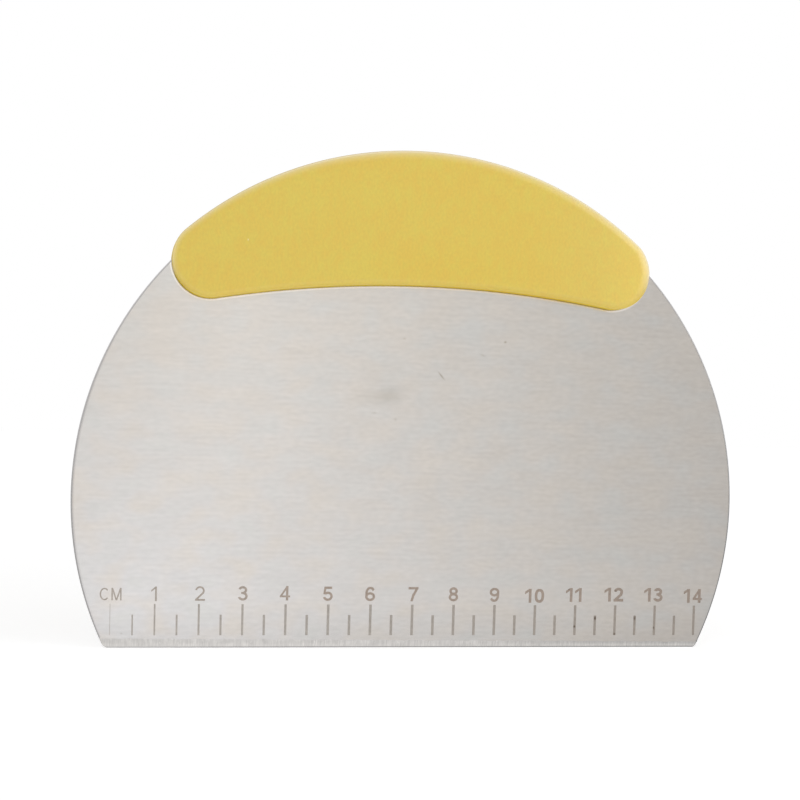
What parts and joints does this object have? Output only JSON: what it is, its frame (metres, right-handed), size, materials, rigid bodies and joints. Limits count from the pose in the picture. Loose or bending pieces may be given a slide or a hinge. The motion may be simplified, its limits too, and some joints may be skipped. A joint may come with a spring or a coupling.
{
  "type": "dough scraper",
  "caption": "Half-moon stainless dough scraper with a centimetre scale along its straight edge and a yellow crescent handle.",
  "frame": {"origin": "middle of the straight scraping edge, halfway through the blade's thickness, on the surface that the edge stands on", "axes": "+X along the scraping edge, the way its scale reads; +Y out of the plain back of the blade, so that the scale faces -Y; +Z from the scraping edge up to the handle"},
  "size_m": [0.1584, 0.01, 0.1169],
  "materials": {
    "steel": "fine brushed grain along the scraping edge, ground bevel along the bottom",
    "handle_plastic": "fine matte moulded texture, opaque yellow"
  },
  "bodies": {
    "root": {"blade": "steel", "handle_front_shell": "handle_plastic", "handle_back_shell": "handle_plastic"}
  },
  "joints": []
}
